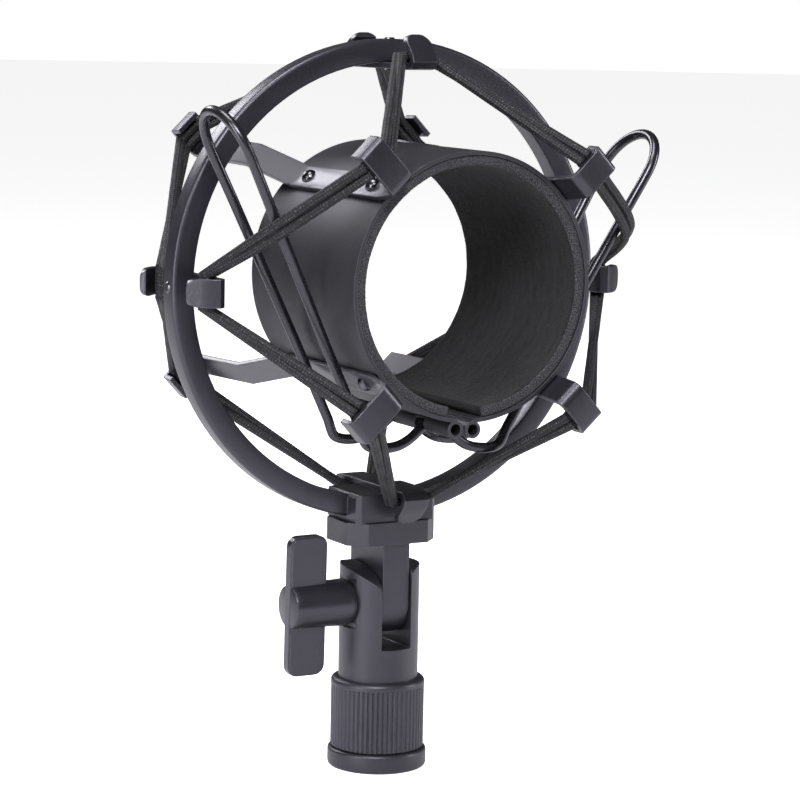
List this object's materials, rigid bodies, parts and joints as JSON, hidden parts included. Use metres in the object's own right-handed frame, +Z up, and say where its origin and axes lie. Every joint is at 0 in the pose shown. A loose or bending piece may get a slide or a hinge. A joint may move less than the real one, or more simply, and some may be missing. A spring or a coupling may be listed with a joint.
{
  "type": "microphone suspension mount",
  "caption": "Shock mount for a side-address condenser microphone: outer ring on a tilting threaded stand adapter, with a felt-lined spring clamp hung in the ring on elastic cords.",
  "frame": {"origin": "centre of the mouth of the stand thread, at the bottom face of the stand nut", "axes": "+Z up along the stand thread towards the ring, -Y the side the ring and the front of the clamp face, +X to the right seen from the front; the tightening handle is on -X"},
  "size_m": [0.1044, 0.0836, 0.1547],
  "materials": {
    "black_paint": "satin",
    "black_wire": "gloss",
    "steel": "satin",
    "felt": "matte",
    "elastic": "matte"
  },
  "bodies": {
    "stand_nut": {"thread_insert": "black_paint", "knurled_sleeve": "black_paint"},
    "swivel": {"swivel_body": "black_paint", "hex_nut": "steel"},
    "ring": {"swivel_tongue": "black_paint", "friction_washers": "steel", "outer_ring": "black_paint", "ring_screws": "steel", "hook_top": "black_paint", "hook_left": "black_paint", "hook_bottom": "black_paint", "hook_right": "black_paint", "ring_rivets": "black_paint", "front_elastic": "elastic", "rear_elastic": "elastic"},
    "washer": {"washer_carriage": "steel"},
    "handle": {"t_handle": "black_paint", "clamp_screw": "steel"},
    "cradle": {"clamp_band": "black_paint", "felt_liner": "felt", "bracket_upper_right": "black_paint", "bracket_upper_left": "black_paint", "bracket_lower_left": "black_paint", "bracket_lower_right": "black_paint", "bracket_rivets": "black_paint"},
    "left_handle": {"left_wire_handle": "black_wire"},
    "right_handle": {"right_wire_handle": "black_wire"}
  },
  "joints": [
    {"name": "nut_spin", "type": "hinge", "parent": "stand_nut", "child": "swivel", "pos_m": [0, 0, 0.0095], "axis": [0, 0, 1], "continuous": true},
    {"name": "tilt", "type": "hinge", "parent": "swivel", "child": "ring", "pos_m": [0, 0, 0.0358], "axis": [1, 0, 0], "range_deg": [-90, 90]},
    {"name": "screw_travel", "type": "slide", "parent": "swivel", "child": "washer", "axis": [-1, 0, 0], "range_m": [0, 0.0012]},
    {"name": "handle_turn", "type": "hinge", "parent": "washer", "child": "handle", "pos_m": [-0.0085, 0, 0.0358], "axis": [-1, 0, 0], "range_deg": [0, 540]},
    {"name": "suspension", "type": "slide", "parent": "ring", "child": "cradle", "axis": [0, 0, 1], "range_m": [-0.004, 0.004], "stiffness_N_per_m": 1600, "deforming": ["front_elastic", "rear_elastic"]},
    {"name": "left_squeeze", "type": "hinge", "parent": "cradle", "child": "left_handle", "pos_m": [-0.00349, -0.0175, 0.07709], "axis": [0, 1, 0], "range_deg": [0, 1.5], "stiffness_Nm_per_rad": 0.3},
    {"name": "right_squeeze", "type": "hinge", "parent": "cradle", "child": "right_handle", "pos_m": [0.00051, -0.0175, 0.07688], "axis": [0, -1, 0], "range_deg": [0, 1.5], "stiffness_Nm_per_rad": 0.3}
  ],
  "couplings": [
    {"joint": "handle_turn", "follows": "screw_travel", "rad_per_m": 7854}
  ]
}
